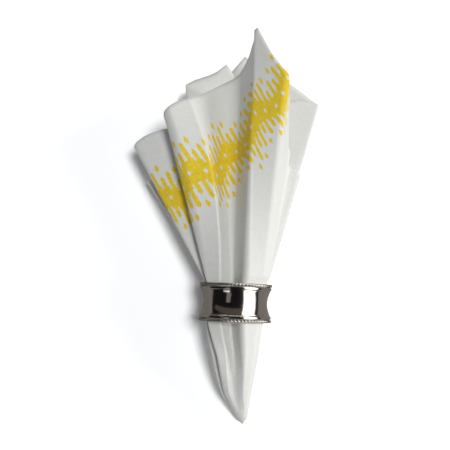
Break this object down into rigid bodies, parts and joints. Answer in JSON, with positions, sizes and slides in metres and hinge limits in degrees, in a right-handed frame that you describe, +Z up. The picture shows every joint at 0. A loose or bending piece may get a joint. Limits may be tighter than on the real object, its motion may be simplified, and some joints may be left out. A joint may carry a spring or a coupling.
{
  "type": "napkin in a ring",
  "caption": "Square cloth napkin pinched near its middle and drawn through a polished concave ring with twisted borders, lying on its back with its folds fanned out.",
  "frame": {"origin": "centre of the bounding box on the surface that the part lies on", "axes": "+Y from the pinched tip through the ring to the fan of cloth, +Z up"},
  "size_m": [0.1302, 0.2634, 0.0632],
  "materials": {
    "napkin_cotton": "fine plain weave, white with a yellow printed band",
    "ring_metal": "polished nickel with a warm grey tone"
  },
  "bodies": {
    "root": {"napkin": "napkin_cotton", "ring_band": "ring_metal", "rope_border_fan": "ring_metal", "rope_border_tail": "ring_metal"}
  },
  "joints": []
}
